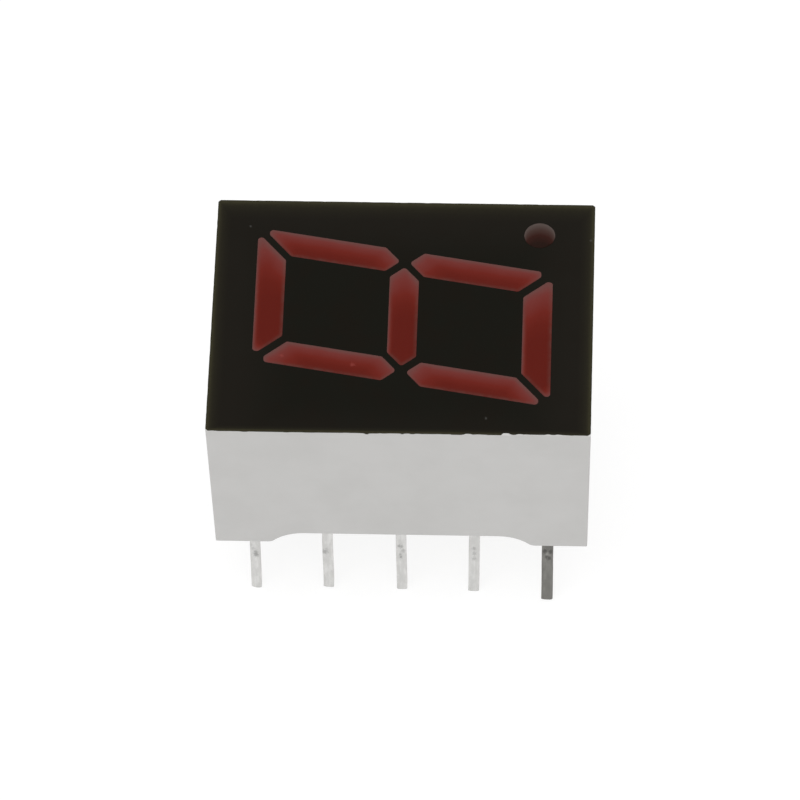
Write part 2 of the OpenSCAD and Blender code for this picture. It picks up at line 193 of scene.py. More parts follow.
class StageSettings(bpy.types.PropertyGroup):
    """The floor, the lamps and the camera."""

    floor: colour("Floor", "the floor as it lights the object", (0.80, 0.80, 0.80))
    floor_light: share("Floor Light", "Light of its own that the floor shows the camera", 0.85)
    floor_shade: share("Floor Shade", "Share of the light and shadow that the camera sees", 0.25)
    sky: share("Sky", "Strength of the light from all round", 0.50)
    key: amount("Key Lamp", "Power of the overhead lamp", 0.60, 0.0, 20.0, unit="POWER")
    fill: amount("Fill Lamp", "Power of the lamp on the far side", 0.12, 0.0, 20.0, unit="POWER")
    lens: amount("Lens", "Focal length of the camera", 324.7, 10.0, 1000.0, unit="CAMERA")
    distance: length("Distance", "From the camera to the middle of the face", 0.2458157, 0.01, 10.0)
    elevation: angle("Elevation", "Height of the camera above the horizon", 53.915)
    turn: angle("Turn", "Turn of the camera from square on to the left wall", 3.191)
    roll: angle("Roll", "Roll of the camera about its own axis", -1.707)
    aim_right: length("Aim Right", "Aim to the right of the face's middle", -0.0000803, -0.1, 0.1)
    aim_below: length("Aim Below", "Aim below the face's middle", 0.0028622, -0.1, 0.1)


# ---- meshes

def box_of(node):
    """The lowest and the highest corner of a CAD node, in millimetres."""
    return [Vector(corner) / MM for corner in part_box(node)]


def joined_nodes(names):
    """The solids of CAD nodes together, in millimetres."""
    made = bmesh.new()
    for name in names:
        made.from_mesh(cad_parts[name].data)
    bmesh.ops.scale(made, vec=(1 / MM,) * 3, verts=made.verts)
    return made


def node_mesh(name):
    """The solid of one CAD node, each of its flat faces in one piece."""
    made = joined_nodes([name])
    bmesh.ops.remove_doubles(made, verts=made.verts, dist=WELD)
    bmesh.ops.dissolve_limit(
        made, angle_limit=COPLANAR, use_dissolve_boundaries=False,
        verts=made.verts, edges=made.edges)
    made.normal_update()
    return made


def put_in_scene(name, data):
    """A new object in the scene, in place of an older one of its name."""
    old = bpy.data.objects.get(name)
    if old:
        bpy.data.objects.remove(old)
    made = bpy.data.objects.new(name, data)
    bpy.context.scene.collection.objects.link(made)
    return made


def finished_mesh(name, made, material):
    """A bmesh as a mesh with its material."""
    mesh = bpy.data.meshes.new(name)
    made.to_mesh(mesh)
    made.free()
    mesh.materials.append(material)
    return mesh


def add_piece(name, made, material, slot, replaced=(), rounded=False):
    """Turns a mesh in millimetres into a piece that rides on the part."""
    bmesh.ops.scale(made, vec=(MM,) * 3, verts=made.verts)
    mesh = finished_mesh(name, made, material)
    mesh.shade_smooth()
    mesh.set_sharp_from_angle(angle=SMOOTH)
    piece = put_in_scene(name, mesh)
    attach(piece, "root")
    if replaced:
        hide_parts(*replaced)
    if rounded:  # its flat faces keep looking flat beside their rounded edges
        weighted = piece.modifiers.new("flat_faces", "WEIGHTED_NORMAL")
        weighted.keep_sharp = True
        weighted.weight = FLAT_WEIGHT


def round_edges(made, chosen, least, width):
    """Rounds the chosen edges that turn by more than least, over a width in metres."""
    sharp = [
        edge for edge in made.edges
        if edge.is_manifold and edge.calc_face_angle() > least and chosen(edge)
    ]
    bmesh.ops.bevel(
        made, geom=sharp, offset=width / MM, offset_type="OFFSET", segments=2,
        profile=0.5, affect="EDGES", clamp_overlap=True)


def level_faces(made, height, up=True):
    """The faces that lie level at one height and look up, or down."""
    way = 1 if up else -1
    return [
        face for face in made.faces
        if face.normal.z * way > LEVEL and abs(face.calc_center_median().z - height) < WELD
    ]


def outlines_at(made, height):
    """Closed outlines of the level top of a mesh, anticlockwise, the largest first."""
    tops = dict.fromkeys(level_faces(made, height))
    onward = {}
    for face in tops:
        for corner in face.loops:
            if sum(other in tops for other in corner.edge.link_faces) == 1:
                onward[corner.vert] = corner.link_loop_next.vert
    found = []
    while onward:
        here = next(iter(onward))
        flat = []
        while here in onward:
            flat.append(here.co.to_2d())
            here = onward.pop(here)
        if signed_area(flat) < 0:
            flat.reverse()
        found.append(flat)
    return sorted(found, key=signed_area, reverse=True)


def sides(outline):
    """Each point of a closed outline with the one after it."""
    return zip(outline, outline[1:] + outline[:1])


def signed_area(flat):
    """Area inside an outline, above 0 if it runs anticlockwise."""
    return sum(a.cross(b) for a, b in sides(flat)) / 2


def grown(flat, distance):
    """An anticlockwise outline moved outwards by a distance."""
    moved = []
    for before, here, after in zip(flat[-1:] + flat[:-1], flat, flat[1:] + flat[:1]):
        one = (here - before).normalized()
        two = (after - here).normalized()
        out_one = Vector((one.y, -one.x))
        out_two = Vector((two.y, -two.x))
        moved.append(here + (out_one + out_two) * distance / (1 + out_one.dot(out_two)))
    return moved


def stepped(flat, step):
    """An outline with each of its sides cut into even lengths of at most step."""
    points = []
    for a, b in sides(flat):
        pieces = max(1, math.ceil((b - a).length / step))
        points += [a.lerp(b, i / pieces) for i in range(pieces)]
    return points


def to_outline(place, flat):
    """Distance in the plane from a place to an outline."""
    here = place.to_2d()
    nearest = math.inf
    for a, b in sides(flat):
        along = min(1.0, max(0.0, intersect_point_line(here, a, b)[1]))
        nearest = min(nearest, (a.lerp(b, along) - here).length)
    return nearest


def add_row(made, places):
    """Points of one closed row."""
    return [made.verts.new(place) for place in places]


def bridge(made, one, other):
    """Faces between two closed rows with as many points."""
    for (a, b), (d, c) in zip(sides(one), sides(other)):
        made.faces.new((a, b, c, d))


def cap(made, rows):
    """Level faces between the first row and the others, which are its holes."""
    edges = [made.edges.get(side) for row in rows for side in sides(row)]
    bmesh.ops.triangle_fill(made, edges=edges, use_beauty=True)


def verts_of(faces):
    """The points of some faces, each of them once."""
    return dict.fromkeys(vert for face in faces for vert in face.verts)


def cut_faces(made, faces, place, normal):
    """Cuts the given faces where they meet a plane."""
    edges = dict.fromkeys(edge for face in faces for edge in face.edges)
    bmesh.ops.bisect_plane(
        made, geom=[*verts_of(faces), *edges, *faces], dist=WELD / 2,
        plane_co=place, plane_no=normal)


def cut_in_squares(made, chosen, step):
    """Cuts the chosen faces along a square grid, so that they can hold a change of tint."""
    for axis, normal in enumerate((Vector((1, 0, 0)), Vector((0, 1, 0)))):
        places = [vert.co[axis] for vert in verts_of(chosen())]
        for cut in range(math.ceil(min(places) / step), math.floor(max(places) / step) + 1):
            cut_faces(made, chosen(), normal * cut * step, normal)


def smooth_step(value, start, end):
    """0 before start, 1 after end and smooth between them."""
    t = min(1.0, max(0.0, (value - start) / (end - start)))
    return t * t * (3 - 2 * t)


# ---- finishes

MICRON = 0.000001
SPOT_RAGGED = 0.35  # how far a spot's edge strays, as a share of its half width
SPOT_WAVES = 16.0  # waves of that edge to the millimetre
SPOT_EDGE = 1.15  # a spot has faded out this many half widths from its middle
SPOT_CORE = 0.20  # and has its full strength this near to it
STAIN_HEIGHT = 1.6  # height of an upright spot as a share of its width


def scaled(tint, scale):
    """A lighter or darker colour."""
    return tuple(min(1.0, value * scale) for value in tint)


class Wiring:
    """A node tree, with short calls to fill it."""

    def __init__(self, tree):
        self.tree = tree
        self.tree.nodes.clear()

    def add(self, kind, sockets=None, **settings):
        """Adds a shader node. A socket gets a link if its value is another node's output."""
        made = self.tree.nodes.new("ShaderNode" + kind)
        for name, value in settings.items():
            setattr(made, name, value)
        for key, value in (sockets or {}).items():
            if isinstance(value, bpy.types.NodeSocket):
                self.tree.links.new(value, made.inputs[key])
            else:
                made.inputs[key].default_value = value
        return made

    def maths(self, operation, one, other=0.0, third=0.0):
        """A number made from others."""
        sockets = {0: one, 1: other, 2: third}
        return self.add("Math", sockets, operation=operation).outputs[0]

    def lit_and_seen(self, lit, seen):
        """One shader for rays that light, another for the camera's, gloss's and glass's."""
        path = self.add("LightPath").outputs
        direct = path["Is Camera Ray"]
        for name in ("Is Glossy Ray", "Is Transmission Ray"):
            direct = self.maths("MAXIMUM", direct, path[name])
        sockets = {0: direct, 1: lit.outputs[0], 2: seen.outputs[0]}
        return self.add("MixShader", sockets).outputs[0]


class Finish(Wiring):
    """A material's node tree, with short calls for what the finishes share."""

    def __init__(self, name):
        old = bpy.data.materials.get(name)
        if old:
            bpy.data.materials.remove(old)
        self.material = bpy.data.materials.new(name)
        self.material.use_nodes = True
        super().__init__(self.material.node_tree)
        place = self.add("TexCoord").outputs["Object"]
        self.place = self.vector("MULTIPLY", place, (1 / MM,) * 3).outputs[0]

    def vector(self, operation, one, other):
        """A node that works on two places."""
        return self.add("VectorMath", {0: one, 1: other}, operation=operation)

    def least(self, first, *others):
        """The least of some numbers."""
        for other in others:
            first = self.maths("MINIMUM", first, other)
        return first

    def axis(self, letter):
        """One coordinate of the place, in millimetres."""
        return self.add("SeparateXYZ", {0: self.place}).outputs[letter]

    def noise(self, scale, detail=2.0, roughness=0.5, stretch=None):
        """Noise with this many waves to the millimetre."""
        place = self.place
        if stretch:
            place = self.vector("MULTIPLY", place, stretch).outputs[0]
        return self.add("TexNoise", {
            "Vector": place, "Scale": scale, "Detail": detail, "Roughness": roughness,
        }).outputs[0]

    def fade(self, value, start, end, low=0.0, high=1.0):
        """A number that goes smoothly from low to high as value goes from start to end."""
        return self.add("MapRange", {
            "Value": value, "From Min": start, "From Max": end, "To Min": low, "To Max": high,
        }, interpolation_type="SMOOTHSTEP").outputs[0]

    def ramp(self, value, stops):
        """A colour that follows a number through the stops."""
        made = self.add("ValToRGB", {0: value})
        held = made.color_ramp.elements
        while len(held) < len(stops):
            held.new(1.0)
        for element, (position, tint) in zip(held, stops):
            element.position = position
            element.color = (*tint, 1.0)
        return made.outputs[0]

    def mix(self, factor, one, other):
        """A colour between two others."""
        sockets = {0: factor}
        for key, tint in ((6, one), (7, other)):
            sockets[key] = tint if isinstance(tint, bpy.types.NodeSocket) else (*tint, 1.0)
        return self.add("Mix", sockets, data_type="RGBA").outputs[2]

    def attribute(self, name):
        """A number that the mesh holds at each of its points."""
        return self.add("Attribute", attribute_name=name).outputs["Fac"]

    def spots(self, marks, upright=False):
        """A mask of soft ragged spots. Each is two coordinates, a half width and a strength."""
        wobble = self.fade(self.noise(SPOT_WAVES), 0.3, 0.7, 1 - SPOT_RAGGED, 1 + SPOT_RAGGED)
        flat = Vector((0, 1, 1 / STAIN_HEIGHT)) if upright else Vector((1, 1, 0))
        place = self.vector("MULTIPLY", self.place, flat).outputs[0]
        total = 0.0
        for one, two, radius, strength in marks:
            middle = flat * Vector((0, one, two) if upright else (one, two, 0))
            away = self.vector("DISTANCE", place, middle).outputs["Value"]
            away = self.maths("MULTIPLY", away, wobble)
            mask = self.fade(away, radius * SPOT_EDGE, radius * SPOT_CORE, 0.0, strength)
            total = self.maths("MAXIMUM", total, mask)
        return total

    def bump(self, height, depth, under=None):
        """A normal from a height of 0 to 1 that stands for a depth in metres."""
        sockets = {"Height": height, "Distance": depth, "Strength": 1.0}
        if under is not None:
            sockets["Normal"] = under
        return self.add("Bump", sockets).outputs[0]

    def surface(self, tint, rough, normal, metallic=0.0, specular=0.5):
        """Ends the tree in a Principled surface and gives the material."""
        shader = self.add("BsdfPrincipled", {
            "Base Color": tint, "Roughness": rough, "Normal": normal, "Metallic": metallic,
            "Specular IOR Level": specular,
        })
        self.add("OutputMaterial", {"Surface": shader.outputs[0]})
        return self.material


def case_plastic(case):
    """White case plastic: matt, finely grained, a little cloudy, with faint flow marks."""
    finish = Finish("moulded_white_plastic")
    cloud = finish.noise(0.5, 3.0, 0.55)
    flow = finish.noise(1.3, stretch=(0.7, 0.7, 1.5))
    speckle = finish.noise(11.0, 3.0, 0.6)
    density = finish.maths(
        "ADD", finish.fade(flow, 0.35, 0.75, 0.0, 0.147), finish.fade(cloud, 0.35, 0.7, 0.0, 0.42))
    tint = finish.mix(density, case.plastic, case.shade)
    tint = finish.mix(finish.fade(speckle, 0.60, 0.78, 0.0, 0.30), tint, case.shade)
    grain = finish.noise(22.0, 4.0, 0.65)
    ripple = finish.noise(2.2)
    normal = finish.bump(grain, case.grain, finish.bump(ripple, case.grain * 2))
    rough = finish.fade(finish.maths("ADD", grain, cloud), 0.7, 1.3, 0.50, 0.64)
    return finish.surface(tint, rough, normal, specular=0.35)


# Specks of dust on the face, as X, Y and half width in millimetres and a strength
FACE_DUST = ((3.75, 5.34, 0.05, 0.24), (-4.24, -2.95, 0.06, 0.24), (3.35, -6.38, 0.05, 0.24))
# How the ink thins in the band along the face's edge: share of the band and share of thin ink
THINNING = ((0.0, 1.0), (0.14, 0.95), (0.25, 0.50), (0.38, 0.26), (0.65, 0.10), (1.0, 0.0))
THIN_BAND = 0.8  # width of that band along the right edge, in millimetres
END_BAND = 0.62  # share of that width along the top and bottom edges
LEFT_BAND = 0.25  # share of that width along the left edge
EDGE_PALE_REACH = (3.0, 0.5)  # the ink's paler band starts and is full this far inside its edges
LEFT_PALE_SHORTFALL = 1.5  # it reaches this much less far inside the left edge
WARM = (1.15, 1.0, 1.0)  # tint of the ink where it is warmer


def face_ink(face):
    """Black screen ink: matt, with a fine orange peel, thin at its outer edge, lightly dusty."""
    finish = Finish("black_screen_ink")
    corner = box_of("black_face_coat")[1]
    right = finish.maths("SUBTRACT", corner.x, finish.axis("X"))
    left = finish.maths("ADD", corner.x, finish.axis("X"))
    ends = finish.maths("SUBTRACT", corner.y, finish.maths("ABSOLUTE", finish.axis("Y")))
    in_band = finish.least(
        right, finish.maths("DIVIDE", left, LEFT_BAND), finish.maths("DIVIDE", ends, END_BAND))
    in_band = finish.maths("DIVIDE", in_band, THIN_BAND)
    thin = finish.ramp(in_band, [(place, (part,) * 3) for place, part in THINNING])
    # the ink is paler over a wide band inside its right, top and bottom edges, reaching less far in
    # from the left
    inside = finish.least(right, ends, finish.maths("ADD", left, LEFT_PALE_SHORTFALL))
    toward_edges = finish.fade(inside, *EDGE_PALE_REACH)
    cloud = finish.noise(0.8, 3.0, 0.6)
    weave = finish.noise(7.0, 3.0, 0.6)
    warm = tuple(value * scale for value, scale in zip(face.ink, WARM))
    tint = finish.mix(finish.fade(cloud, 0.4, 0.65), face.ink, warm)
    tint = finish.mix(toward_edges, tint, face.paler_edge_ink)
    uneven = finish.fade(weave, 0.25, 0.65, 0.8, 1.0)
    tint = finish.mix(finish.maths("MULTIPLY", thin, uneven), tint, face.thin_ink)
    tint = finish.mix(finish.spots(FACE_DUST), tint, face.dust)
    peel = finish.noise(9.0)
    normal = finish.bump(peel, 1.2 * MICRON, finish.bump(weave, 1.0 * MICRON))
    rough = finish.fade(cloud, 0.3, 0.7, 0.55, 0.66)
    return finish.surface(tint, rough, normal, specular=0.03)


FULL_DEPTH = 2.8  # longest way through the resin, in millimetres
UPRIGHT_SEGMENTS = ("segment_b", "segment_c", "segment_e", "segment_f")
UPRIGHT_SHADE_DEPTH = 1.2  # painted shade: their depth is stretched this much so that they are painted darker, as their narrow cavities look
# Pale flecks under the resin of segment f, as X, Y and half width in millimetres and a strength
RESIN_FLECKS = ((-1.74, 4.05, 0.08, 0.5), (-2.08, 1.63, 0.10, 0.5))
FLECK_PALER = 1.7  # how much paler they are than shallow resin


def tinted_resin(resin):
    """Red tinted resin: the tint deepens with the resin's depth and pales at its rim; as the depth
    is read along one fixed slant, the paler side of each window is painted light.
    """
    finish = Finish("red_tinted_resin")
    depth = finish.maths("DIVIDE", finish.attribute("resin_depth_and_shade"), FULL_DEPTH)
    cloud = finish.noise(1.3)
    depth = finish.maths("ADD", depth, finish.fade(cloud, 0.3, 0.7, -0.025, 0.025))
    tint = finish.ramp(depth, [
        (0.05, resin.mouth), (0.20, resin.shallow), (0.49, resin.middle), (0.72, resin.deep),
        (0.96, resin.floor)])
    tint = finish.mix(finish.spots(RESIN_FLECKS), tint, scaled(resin.shallow, FLECK_PALER))
    uneven = finish.fade(finish.noise(3.0, 2.0, 0.6), 0.3, 0.7, 0.18, 0.42)
    rim = finish.maths("MULTIPLY", finish.attribute("resin_rim"), uneven)
    return resin_surface(finish, finish.mix(rim, tint, resin.rim))


def point_resin(resin):
    """Tinted resin of the decimal point, painted darker and greyer than the bars as painted shade,
    with a painted paler crescent on the side where its slant meets the wall.
    """
    finish = Finish("shaded_point_resin")
    depth = finish.maths("DIVIDE", finish.attribute("resin_depth_and_shade"), FULL_DEPTH)
    tint = finish.ramp(depth, [
        (0.05, resin.point_mouth), (0.22, resin.point_shallow), (0.42, resin.point_middle),
        (0.70, resin.point_deep)])
    return resin_surface(finish, tint)


def resin_surface(finish, tint):
    """The faintly pitted satin surface that both resins share."""
    pits = finish.noise(12.0, 3.0, 0.6)
    normal = finish.bump(pits, 1.0 * MICRON)
    rough = finish.fade(pits, 0.35, 0.7, 0.30, 0.42)
    return finish.surface(tint, rough, normal, specular=0.04)


# Flux stains on the rows of leads, as Y, Z and half width in millimetres and a strength
LEFT_STAINS = (
    (5.12, -1.98, 0.12, 0.60), (5.13, -1.84, 0.09, 0.48), (5.20, -1.63, 0.09, 0.26),
    (5.26, -1.42, 0.09, 0.19), (2.71, -1.74, 0.12, 0.54), (2.67, -1.60, 0.07, 0.30),
    (0.13, -1.36, 0.08, 0.50), (0.05, -1.39, 0.08, 0.43), (-0.01, -1.63, 0.09, 0.41),
    (0.08, -2.02, 0.06, 0.55), (0.09, -1.88, 0.06, 0.43),
    (-2.47, -1.42, 0.09, 0.41), (-2.47, -1.73, 0.09, 0.34), (-2.46, -2.05, 0.09, 0.31),
)
RIGHT_STAINS = (
    (5.00, -1.52, 0.10, 0.40), (5.10, -2.20, 0.07, 0.30), (2.58, -1.30, 0.09, 0.34),
    (2.47, -1.86, 0.11, 0.42), (-0.04, -1.70, 0.10, 0.38), (0.06, -1.18, 0.07, 0.30),
    (-2.60, -1.58, 0.11, 0.40), (-2.49, -2.30, 0.08, 0.26), (-5.14, -1.36, 0.10, 0.38),
    (-5.02, -1.96, 0.08, 0.32),
)
DARK_LEAD_STAINS = (
    (-5.04, -1.02, 0.20, 0.34), (-4.93, -1.26, 0.10, 0.66), (-5.13, -1.32, 0.11, 0.66),
    (-5.03, -1.20, 0.10, 0.36), (-4.98, -1.61, 0.08, 0.60), (-5.08, -1.67, 0.09, 0.60),
)
DARK_LEAD_SHINES = ((-5.00, -1.46, 0.06, 0.45), (-5.09, -1.50, 0.05, 0.35))
STAIN_DARKER = 0.4  # colour of a stain as a share of the dull tin's
SHINE_PALER = 1.6  # colour of a shine as a share of the tin's
DARK_DULLER = 0.8  # dull colour of the dark lead as a share of its own


def tinned_metal(name, tin, dull, stains, other_stains=(), shines=()):
    """Tin plate: satin, mottled, drawn lines along the lead, flux stains near the case."""
    finish = Finish(name)
    mottle = finish.noise(4.5, 3.0, 0.6, stretch=(1.0, 1.0, 0.35))
    drawn = finish.noise(6.0, 3.0, 0.6, stretch=(1.0, 1.0, 0.05))
    tint = finish.mix(finish.fade(mottle, 0.35, 0.65), tin, dull)
    tint = finish.mix(finish.fade(drawn, 0.40, 0.66, 0.0, 0.8), tint, dull)
    marks = finish.spots(stains, upright=True)
    if other_stains:
        on_right = finish.maths("GREATER_THAN", finish.axis("X"), 0.0)
        other = finish.maths("MULTIPLY", finish.spots(other_stains, upright=True), on_right)
        marks = finish.maths("MULTIPLY_ADD", marks, finish.maths("SUBTRACT", 1.0, on_right), other)
    tint = finish.mix(marks, tint, scaled(dull, STAIN_DARKER))
    if shines:
        shine = finish.spots(shines, upright=True)
        tint = finish.mix(shine, tint, scaled(tin, SHINE_PALER))
    rough = finish.fade(mottle, 0.3, 0.7, 0.34, 0.46)
    rough = finish.maths("MULTIPLY_ADD", marks, 0.3, rough)
    normal = finish.bump(drawn, 1.5 * MICRON, finish.bump(mottle, 2.0 * MICRON))
    return finish.surface(tint, rough, normal, metallic=1.0)


BUBBLE_CELLS = 1.6  # cells to the millimetre, each of which may hold a bubble
BUBBLE_SIZE = (0.16, 0.08)  # a bubble starts and is full this near to its cell's middle
BUBBLE_RARE = (0.80, 0.82)  # only cells with a number above these, of 0 to 1, hold one
CLOUD_PALER = 1.12  # colour of the resin's clouds and bubbles as a share of its own


def potting_resin(potting):
    """Cloudy potting resin: glossy, with the lead frame as a shade under it and a few bubbles."""
    finish = Finish("cloudy_potting_resin")
    cloud = finish.noise(0.7, 4.0, 0.6)
    paler = scaled(potting.resin, CLOUD_PALER)
    tint = finish.mix(finish.fade(cloud, 0.35, 0.7), potting.resin, paler)
    tint = finish.mix(finish.attribute("frame_shade"), tint, potting.frame_shade)
    cells = finish.add("TexVoronoi", {"Vector": finish.place, "Scale": BUBBLE_CELLS}).outputs
    rare = finish.add("SeparateXYZ", {0: cells["Color"]}).outputs["X"]
    bubble = finish.maths(
        "MULTIPLY", finish.fade(cells["Distance"], *BUBBLE_SIZE), finish.fade(rare, *BUBBLE_RARE))
    tint = finish.mix(finish.maths("MULTIPLY", bubble, 0.35), tint, paler)
    swell = finish.noise(1.1)
    normal = finish.bump(bubble, 12 * MICRON, finish.bump(swell, 6 * MICRON))
    rough = finish.fade(cloud, 0.3, 0.7, 0.14, 0.24)
    return finish.surface(tint, rough, normal)


def emitter_die(potting):
    """Sawn emitter die, with saw lines down its sides."""
    finish = Finish("sawn_emitter_die")
    saw = finish.noise(30.0, 3.0, 0.6, stretch=(1.0, 1.0, 0.2))
    tint = finish.mix(finish.fade(saw, 0.3, 0.7), scaled(potting.die, 0.7), potting.die)
    rough = finish.fade(saw, 0.3, 0.7, 0.25, 0.5)
    normal = finish.bump(saw, 1.0 * MICRON)
    return finish.surface(tint, rough, normal, metallic=0.6)


def gold_wire(potting):
    """Drawn gold wire."""
    finish = Finish("drawn_gold_wire")
    drawn = finish.noise(60.0)
    tint = finish.mix(finish.fade(drawn, 0.3, 0.7), scaled(potting.gold, 0.85), potting.gold)
    rough = finish.fade(drawn, 0.3, 0.7, 0.18, 0.3)
    normal = finish.bump(drawn, 0.3 * MICRON)
    return finish.surface(tint, rough, normal, metallic=1.0)


# ---- case

STANDOFF_TOP = 0.54  # height of the stand-off cut, in millimetres
CORNER_REACH = 0.4  # the upright corner edges lie this close to the case's corners
CASE_SHARP = math.radians(20)  # an edge to be rounded turns by more than this


def make_case(case):
    """The case, its feet, its rear rim and its upright corners lightly rounded."""
    made = node_mesh("reflector_case")
    high = box_of("reflector_case")[1]

    def at_foot_or_corner(edge):
        one, other = (vert.co for vert in edge.verts)
        if max(one.z, other.z) < STANDOFF_TOP + WELD:
            return True
        tall = abs(one.z - other.z) > STANDOFF_TOP
        return tall and abs(one.x) > high.x - CORNER_REACH and abs(one.y) > high.y - CORNER_REACH

    round_edges(made, at_foot_or_corner, CASE_SHARP, case.edge_break)
    add_piece(
        "case_shell", made, case_plastic(case), "case_plastic", ["reflector_case"], rounded=True)


# ---- printed face

# Profile of the ink's edge: share of the shoulder's width inwards and share of its drop
INK_PROFILE = ((1.0, 0.0), (0.62, 0.10), (0.34, 0.30), (0.14, 0.62), (0.0, 1.0))
EDGE_STEP = 0.06  # length of the steps round the printed edge, in millimetres
CREEP_START = 0.01  # ink that creeps this far down, in millimetres, stops nowhere short
# Noise of the creep and the wander: layer, waves to the millimetre and share of finer waves
CREEP_NOISE = (4, 1.7, 0.4)
WANDER_NOISE = (0, 2.3, 0.5)
# Marks on the left edge, where the ink stops short or has crept: Y, half length and depth
INK_NICKS = (
    (-4.95, 1.15, 0.040), (-3.68, 0.16, 0.088), (-4.12, 0.13, 0.054), (-5.10, 0.09, 0.064),
    (-5.44, 0.12, 0.054), (-6.15, 0.36, 0.034), (-2.37, 0.13, 0.036), (-2.78, 0.22, 0.012),
)
INK_RUNS = (
    (3.60, 1.90, 0.012), (5.18, 0.13, 0.026), (3.76, 0.12, 0.028), (3.00, 0.26, 0.020),
    (1.06, 0.08, 0.066), (-0.14, 0.07, 0.028), (-1.98, 0.22, 0.018),
)
MARK_FADE = (0.5, 1.3)  # shares of its half length where a mark starts to fade and has gone


def edge_noise(place, layer, waves, finer):
    """Noise along the edge with waves three times finer on it, 0 where it would be less."""
    wide = Vector((place.x, place.y, layer)) * waves
    fine = Vector((place.x, place.y, layer + 5)) * waves * 3
    return max(0.0, noise(wide) + finer * noise(fine))


def along_edge(place, marks, left_side):
    """The most that any of the marks on the left edge reaches at a place."""
    if place.x > left_side:
        return 0.0
    return max(
        depth * (1 - smooth_step(abs(place.y - middle) / half, *MARK_FADE))
        for middle, half, depth in marks)


def print_face(face):
    """The ink sheet: a soft shoulder and a wandering edge outside, crisp windows inside."""
    source = node_mesh("black_face_coat")
    low, high = box_of("black_face_coat")
    outer, *windows = outlines_at(source, high.z)
    source.free()
    outer = stepped(outer, EDGE_STEP)
    shoulder = face.shoulder / MM
    left_side = low.x + shoulder

    def creep_and_wander(place):
        nick = along_edge(place, INK_NICKS, left_side)
        creep = edge_noise(place, *CREEP_NOISE) * face.creep / MM
        creep = max(creep, along_edge(place, INK_RUNS, left_side))
        creep *= 1 - min(1.0, nick / CREEP_START)
        wander = edge_noise(place, *WANDER_NOISE) * face.wander / MM
        return creep, nick + wander * (1 - min(1.0, creep / CREEP_START))

    def edge_place(place, inwards, height):
        inset = inwards * shoulder + creep_and_wander(place)[1] * (1 - inwards)
        return (place.x * (1 - inset / high.x), place.y * (1 - inset / high.y), height)

    made = bmesh.new()
    rows = []
    for inwards, drop in INK_PROFILE:
        height = high.z - drop * face.shoulder_drop / MM
        rows.append(add_row(made, [edge_place(place, inwards, height) for place in outer]))
    skirt = add_row(
        made, [edge_place(place, 0.0, low.z - creep_and_wander(place)[0]) for place in outer])
    under = add_row(made, [edge_place(place, 1.0, low.z) for place in outer])
    rows += [skirt, under]
    for one, other in zip(rows, rows[1:]):
        bridge(made, one, other)

    broken = face.window_break / MM
    tops = []
    bottoms = []
    for window in windows:
        lip = add_row(made, [(*place, high.z) for place in grown(window, broken)])
        side = add_row(made, [(*place, high.z - broken) for place in window])
        foot = add_row(made, [(*place, low.z) for place in window])
        bridge(made, lip, side)
        bridge(made, side, foot)
        tops.append(lip)
        bottoms.append(foot)
    cap(made, [rows[0], *tops])
    cap(made, [under, *bottoms])
    bmesh.ops.recalc_face_normals(made, faces=made.faces)
    add_piece("ink_sheet", made, face_ink(face), "face_ink", ["black_face_coat"])


# ---- windows

RIM_LINES = (0.04, 0.10, 0.16)  # the top is cut this far inside each side, in millimetres
LONG_SIDE = 0.3  # sides of a window that are longer than this get those cuts
TINT_STEP = 0.1  # side of the squares that hold the change of tint
NUDGE = 0.004  # a ray starts this far inside the resin
SINK_RUN = 0.3  # the top sinks over this width inside its outline


def fill_window(node, name, resin, material, side_slant):
    """One body of resin, its top a little sunk, that knows its own depth along one fixed slant at
    each point, which paints light and shade into its tint.
    """
    made = node_mesh(node)
    depth_at = made.verts.layers.float.new("resin_depth_and_shade")
    rim_at = made.verts.layers.float.new("resin_rim")
    solid = BVHTree.FromBMesh(made)
    # painted shade: the upright bars' depths are stretched so that their tint is darker
    darker_as_deeper = UPRIGHT_SHADE_DEPTH if node in UPRIGHT_SEGMENTS else 1.0
    top = max(vert.co.z for vert in made.verts)
    outline = outlines_at(made, top)[0]
    middle = sum(outline, Vector((0, 0))) / len(outline)

    def top_faces():
        return level_faces(made, top)

    for a, b in sides(outline):
        if (b - a).length > LONG_SIDE:
            side = (b - a).normalized()
            inward = Vector((-side.y, side.x, 0))
            for width in RIM_LINES:
                cut_faces(made, top_faces(), a.to_3d() + inward * width, inward)
    cut_in_squares(made, top_faces, TINT_STEP)

    # painted light and shade: depth is measured along one fixed slant towards +X, so the tint made
    # from it is painted paler on that side of each window
    way = Vector((math.tan(resin.slant), math.tan(side_slant), -1)).normalized()
    for vert in verts_of(top_faces()):
        away = to_outline(vert.co, outline)
        inward = Vector((middle.x - vert.co.x, middle.y - vert.co.y, 0)).normalized()
        start = vert.co + inward * NUDGE - Vector((0, 0, NUDGE))
        hit = solid.ray_cast(start, way)
        vert[depth_at] = min(hit[3] * darker_as_deeper, FULL_DEPTH) if hit[0] else 0.0
        vert[rim_at] = 1 - smooth_step(away, 0, max(RIM_LINES))
        vert.co.z -= resin.sink / MM * smooth_step(away, 0, SINK_RUN)
    add_piece(name, made, material, "tinted_resin", [node])


def fill_windows(resin):
    """The seven bars and the decimal point."""
    red = tinted_resin(resin)
    for node in SEGMENTS:
        fill_window(node, "resin_" + node, resin, red, resin.side_slant)
    fill_window("decimal_point", "resin_point", resin, point_resin(resin), 0.0)


# ---- leads

LEAD_PITCH = 2.54  # spacing of the leads in a row, in millimetres
ROW_X = 3.81  # from the middle to each row
POTTING_LEVEL = 0.76  # height of the potting's face above the seating plane
LEAD_WIDTH = 0.4
SHEET = 0.25  # thickness of the stamped sheet
TIP_RUN = 0.35  # length over which a tip's cut is taken up
LEG_STEP = 0.11  # the legs are cut across in lengths of this many millimetres
